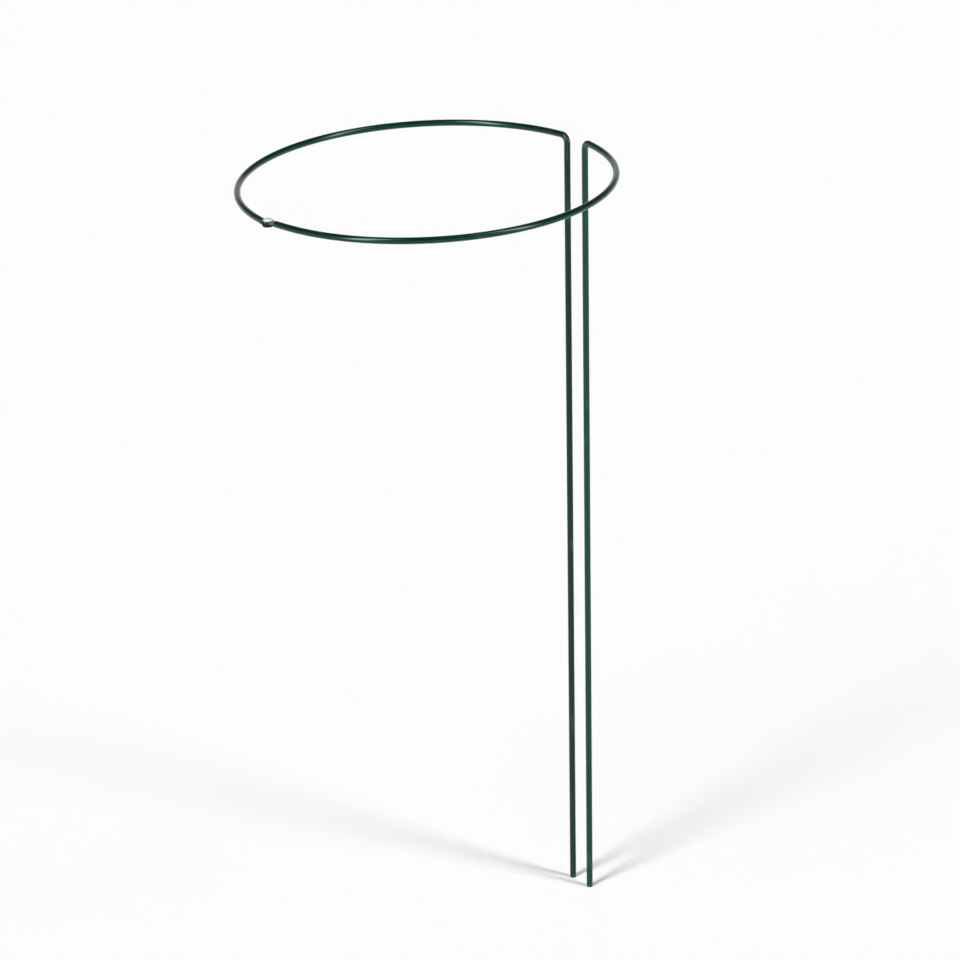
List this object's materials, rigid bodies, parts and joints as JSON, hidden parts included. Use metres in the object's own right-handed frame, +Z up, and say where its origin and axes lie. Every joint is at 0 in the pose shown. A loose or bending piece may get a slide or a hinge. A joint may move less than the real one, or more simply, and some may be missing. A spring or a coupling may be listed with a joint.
{
  "type": "plant support",
  "caption": "Hinged wire ring on long legs: it opens on a riveted hinge, closes round a plant and holds its stems up.",
  "frame": {"origin": "under the ring's centre, level with the feet", "axes": "+Z up along the legs, +Y from the ring's centre towards the legs, +X towards the right half"},
  "size_m": [0.3999, 0.4041, 0.8794],
  "materials": {
    "galvanised_steel": "dull zinc-coated steel wire",
    "green_coating": "smooth glossy dark green plastic",
    "rivet_steel": "zinc-plated, satin"
  },
  "bodies": {
    "left_half": {"left_wire_core": "galvanised_steel", "left_green_coating": "green_coating", "hinge_rivet": "rivet_steel"},
    "right_half": {"right_wire_core": "galvanised_steel", "right_green_coating": "green_coating"}
  },
  "joints": [
    {"name": "ring_hinge", "type": "hinge", "parent": "left_half", "child": "right_half", "pos_m": [0, -0.19839, 0.86119], "axis": [0, 0.0375, -0.9993], "range_deg": [-3.3, 145]}
  ]
}
